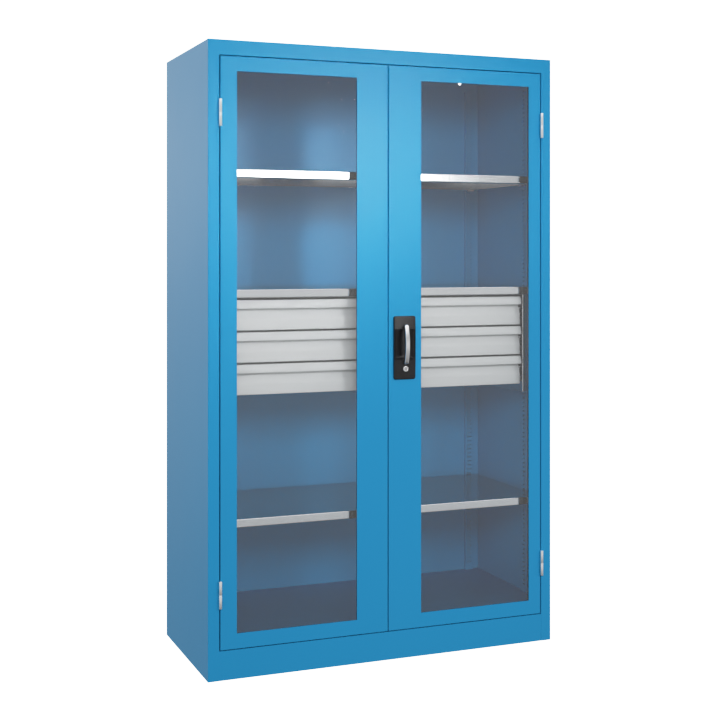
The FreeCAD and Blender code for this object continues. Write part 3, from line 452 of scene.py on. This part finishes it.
def knuckle(x, z0, z1, bore, lower):
    """A hinge barrel: rounded at its free end, only broken-edged where the two barrels meet."""
    t, r = z1 - z0, 5.0
    a, b = (0.6, 0.15) if lower else (0.15, 0.6)
    return turned([(bore, 0.0), (r - a, 0.0), (r - 0.3 * a, 0.3 * a), (r, a), (r, t - b), (r - 0.3 * b, t - 0.3 * b), (r - b, t), (bore, t)], x, -7.5, z0)


HINGE_X, POST_X, DOOR_X = 555.3, 557.0, 553.5
frame_parts, hinge_pieces = [], []
for side, k in (("left", -1), ("right", 1)):
    door_parts = []
    for z in (222.0, 1686.0):
        frame_parts.append(knuckle(k * HINGE_X, z, z + 42.3, 2.6, True))
        frame_parts.append(block(sorted((k * (POST_X - 1.35), k * (POST_X - 0.05))), (-7.5, 20.0), (z + 0.6, z + 41.4)))
        door_parts.append(knuckle(k * HINGE_X, z + 42.6, z + 83.0, 2.6, False))
        door_parts.append(block(sorted((k * (DOOR_X + 0.05), k * (DOOR_X + 1.35))), (-7.5, 20.0), (z + 43.6, z + 82.4)))
    leaf = piece("door_hinges_%s_turned" % side, *joined(door_parts), "door_" + side, "zinc")
    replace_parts(leaf, "hinge_door_leaves_" + side)
    hinge_pieces.append(leaf)
leaf = piece("frame_hinges_turned", *joined(frame_parts), "carcass", "zinc")
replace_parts(leaf, "hinge_frame_leaves")
hinge_pieces.append(leaf)


def button_screw(x, d, z, r=3.4):
    """A button-head screw seen from the inside of a door, with a hexagon socket."""
    n, verts, faces = 24, [], []
    for radius, h, hexed in ((r, 0.0, False), (r - 0.1, 0.55, False), (r - 0.8, 1.25, False), (r - 1.5, 1.5, False), (1.3, 1.5, True), (1.25, 0.5, True), (0.4, 0.4, False)):
        for i in range(n):
            a = 2 * math.pi * i / n
            q = radius / math.cos((a + math.pi / 6) % (math.pi / 3) - math.pi / 6) if hexed else radius
            verts.append((x + q * math.cos(a), d + h, z + q * math.sin(a)))
    for ring in range(6):
        for i in range(n):
            j = (i + 1) % n
            faces.append((ring * n + i, ring * n + j, ring * n + n + j, ring * n + n + i))
    faces += [tuple(range(n)), tuple(range(6 * n, 7 * n))]
    return verts, faces


for side, k in (("left", -1), ("right", 1)):
    lo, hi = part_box("pane_retainer_" + side)
    x0, x1, z0, z1, d = lo[0] * 1000.0 + 9.0, hi[0] * 1000.0 - 9.0, lo[2] * 1000.0 + 9.0, hi[2] * 1000.0 - 9.0, 21.2
    heads = []
    for i in range(8):
        z = z0 + 60.0 + (z1 - z0 - 120.0) * i / 7
        heads += [button_screw(x0, d, z), button_screw(x1, d, z)]
    for i in range(3):
        x = x0 + 70.0 + (x1 - x0 - 140.0) * i / 2
        heads += [button_screw(x, d, z0), button_screw(x, d, z1)]
    piece("retainer_studs_" + side, *joined(heads), "door_" + side, "black_plastic", 30.0)

# Painted shade in the lock's key slot: a black plastic plug standing in for the shade deep in the slot, shaped as a
# rounded frame with the key entry sunk into it, just below the lock's face.
lo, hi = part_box("lock_core")
lock_x, lock_z = 500.0 * (lo[0] + hi[0]), hi[2] * 1000.0 - 5.5
verts, faces, n = [], [], 24
for inset, d in ((0.0, -9.8), (0.0, -14.6), (0.25, -14.9), (0.55, -14.9), (0.65, -10.8)):
    for i in range(n):
        a = 2 * math.pi * i / n
        c, e = math.cos(a), math.sin(a)
        verts.append((lock_x + (1.15 - inset) * math.copysign(abs(c) ** 0.4, c), d, lock_z + (4.4 - inset) * math.copysign(abs(e) ** 0.4, e)))
for ring in range(4):
    faces += [(ring * n + i, ring * n + (i + 1) % n, ring * n + n + (i + 1) % n, ring * n + n + i) for i in range(n)]
faces += [tuple(range(n)), tuple(range(4 * n, 5 * n))]
# The plug is painted shade: black plastic put where the key slot would only be dark from its depth.
piece("key_slot_painted_shade", verts, faces, "lock_core", "black_plastic", 40.0)

# Ground weld seams where the posts meet the header and the left end of the plinth: a shallow crowned bead, flush with the front.
beads = []
for x, z0, z1, d in ((-557.0, 1904.0, 1948.4, -0.02), (557.0, 1904.0, 1948.4, -0.02), (-557.0, 2.2, 90.6, -0.02)):
    section = [(-4.5, 0.9), (-4.2, d + 0.01), (-2.0, d), (2.0, d), (4.2, d + 0.01), (4.5, 0.9)]
    n = len(section)
    verts = [(x + a, b, z) for z in (z0, z1) for a, b in section]
    beads.append((verts, [tuple(range(n)), tuple(range(2 * n - 1, n - 1, -1))] + [(i, (i + 1) % n, n + (i + 1) % n, n + i) for i in range(n)]))
piece("corner_weld_beads", *joined(beads), "carcass", "blue_paint", 60.0)

# ---------------------------------------------------------------- stage: floor, light, camera
bm = bmesh.new()
bmesh.ops.create_grid(bm, x_segments=8, y_segments=8, size=14.0)
mesh = bpy.data.meshes.new("floor")
bm.to_mesh(mesh)
bm.free()
floor = bpy.data.objects.new("floor", mesh)
scene.collection.objects.link(floor)
k = Mat("pale_floor", Specular_IOR_Level=0.0, Roughness=0.9, Emission_Strength=2.2)
k.p.inputs["Emission Color"].default_value = (1.0, 1.0, 1.0, 1.0)
k.colour(k.ramp(k.noise(3.0, 2.0), [(0.3, (0.02, 0.02, 0.02)), (0.7, (0.03, 0.03, 0.03))]))
mesh.materials.append(k.m)
floor.visible_diffuse = floor.visible_glossy = floor.visible_transmission = floor.visible_shadow = False

world = bpy.data.worlds.new("studio")
scene.world = world
world.use_nodes = True
world.cycles.sampling_method = "NONE"
tree = world.node_tree
tree.nodes.clear()


def world_node(kind, **props):
    n = tree.nodes.new(kind)
    for key, value in props.items():
        setattr(n, key, value)
    return n


def sky_ramp(height, stops):
    """Grey level by elevation: stops are (degrees, level)."""
    n = world_node("ShaderNodeValToRGB")
    while len(n.color_ramp.elements) < len(stops):
        n.color_ramp.elements.new(0.5)
    for e, (deg, level) in zip(n.color_ramp.elements, stops):
        e.position = 0.5 + 0.5 * math.sin(math.radians(deg))
        e.color = (level, level, level, 1.0)
    tree.links.new(height, n.inputs[0])
    return n.outputs[0]


way = world_node("ShaderNodeSeparateXYZ")
tree.links.new(world_node("ShaderNodeTexCoord").outputs["Generated"], way.inputs[0])
rise = world_node("ShaderNodeMapRange")
rise.inputs["From Min"].default_value = -1.0
tree.links.new(way.outputs["Z"], rise.inputs["Value"])
facing = world_node("ShaderNodeMapRange", interpolation_type="SMOOTHSTEP")
facing.inputs["From Min"].default_value = -0.35
facing.inputs["From Max"].default_value = 0.45
tree.links.new(way.outputs["Y"], facing.inputs["Value"])
front = sky_ramp(rise.outputs[0], [(-90, 0.10), (-30, 0.22), (-15, 0.50), (-5, 0.68), (3, 0.80), (12, 0.78), (25, 0.56), (40, 0.28), (90, 0.14)])
mirrored = sky_ramp(rise.outputs[0], [(-90, 0.05), (-45, 0.10), (-36, 0.24), (-24, 0.40), (-14, 0.44), (-10.5, 0.66), (-5, 0.69), (-1, 0.73), (3, 0.58), (6, 0.48), (12, 0.48), (26, 1.50), (90, 1.70)])
rear = sky_ramp(rise.outputs[0], [(-90, 0.30), (-22, 0.26), (-15, 0.30), (-11, 0.42), (-6.5, 0.55), (-2, 0.71), (2, 1.00), (5, 1.12), (8, 0.88), (20, 1.30), (60, 1.75)])
path = world_node("ShaderNodeLightPath")
ahead = world_node("ShaderNodeMix", data_type="RGBA")
tree.links.new(path.outputs["Is Glossy Ray"], ahead.inputs["Factor"])
tree.links.new(front, ahead.inputs[6])
tree.links.new(mirrored, ahead.inputs[7])
both = world_node("ShaderNodeMix", data_type="RGBA")
tree.links.new(facing.outputs[0], both.inputs["Factor"])
tree.links.new(ahead.outputs[2], both.inputs[6])
tree.links.new(rear, both.inputs[7])
light = world_node("ShaderNodeBackground")
tree.links.new(both.outputs[2], light.inputs["Color"])
shown = world_node("ShaderNodeBackground")
shown.inputs["Color"].default_value = (1.0, 1.0, 1.0, 1.0)
shown.inputs["Strength"].default_value = 2.2
either = world_node("ShaderNodeMixShader")
tree.links.new(path.outputs["Is Camera Ray"], either.inputs[0])
tree.links.new(light.outputs[0], either.inputs[1])
tree.links.new(shown.outputs[0], either.inputs[2])
tree.links.new(either.outputs[0], world_node("ShaderNodeOutputWorld").inputs["Surface"])


def softbox(name, place, target, width, height, power, spread=180.0):
    lamp = bpy.data.lights.new(name, "AREA")
    lamp.shape = "RECTANGLE"
    lamp.size, lamp.size_y = width, height
    lamp.energy = power
    lamp.spread = math.radians(spread)
    obj = bpy.data.objects.new(name, lamp)
    scene.collection.objects.link(obj)
    obj.location = place
    obj.rotation_euler = (Vector(target) - Vector(place)).to_track_quat("-Z", "Y").to_euler()
    return obj


key = softbox("key", (1.38, -4.29, 1.80), (-0.22, -0.25, 1.58), 1.05, 0.60, 0.84, 22.0)
key.visible_diffuse = False
soft = softbox("key_soft", (1.38, -4.00, 2.50), (-0.22, -0.25, 1.52), 1.00, 0.60, 1.38, 17.0)
fill = softbox("fill", (-1.30, -4.10, 2.30), (0.0, -0.25, 0.90), 2.0, 1.0, 14.5, 80.0)
cross = softbox("cross", (1.50, -4.00, 2.15), (-0.10, -0.25, 0.90), 1.0, 0.9, 42.0)
soft.visible_glossy = fill.visible_glossy = cross.visible_glossy = False
kept_out = bpy.data.collections.new("out_of_the_key")
for obj in [nodes[n] for n in ("window_pane_left", "window_pane_right", "shelf_middle", "shelf_lower")] + [bow] + hinge_pieces:
    kept_out.objects.link(obj)
key.light_linking.receiver_collection = kept_out
glint = softbox("glint", (-1.43, -2.06, 2.00), (0.055, -0.28, 1.02), 1.6, 0.9, 3.2)
lit = bpy.data.collections.new("in_the_glint")
lit.objects.link(bow)
glint.light_linking.receiver_collection = lit
shaded = bpy.data.collections.new("out_of_the_fill")
shaded.objects.link(nodes["floor_panel"])
cross.light_linking.receiver_collection = fill.light_linking.receiver_collection = shaded
for entry in list(kept_out.collection_objects) + list(shaded.collection_objects):
    entry.light_linking.link_state = "EXCLUDE"

cam = bpy.data.cameras.new("camera")
cam.sensor_width = 36.0
cam.lens = 65.086
cam.shift_x = 0.0
cam.shift_y = -0.1481
camera = bpy.data.objects.new("camera", cam)
scene.collection.objects.link(camera)
camera.location = (-1.6300, -4.0753, 1.2998)
camera.rotation_euler = (math.radians(90.0), 0.0, math.radians(-21.836))
scene.camera = camera
scene.view_settings.view_transform = "Standard"

# Soft shoulder for the bright tones.
scene.view_settings.use_curve_mapping = True
tone = scene.view_settings.curve_mapping
tone.white_level = (2.0, 2.0, 2.0)
shoulder = tone.curves[3].points
for at, level in ((0.10, 0.20), (0.20, 0.40), (0.26, 0.515), (0.36, 0.66), (0.46, 0.767), (0.62, 0.88)):
    shoulder.new(at, level)
tone.update()
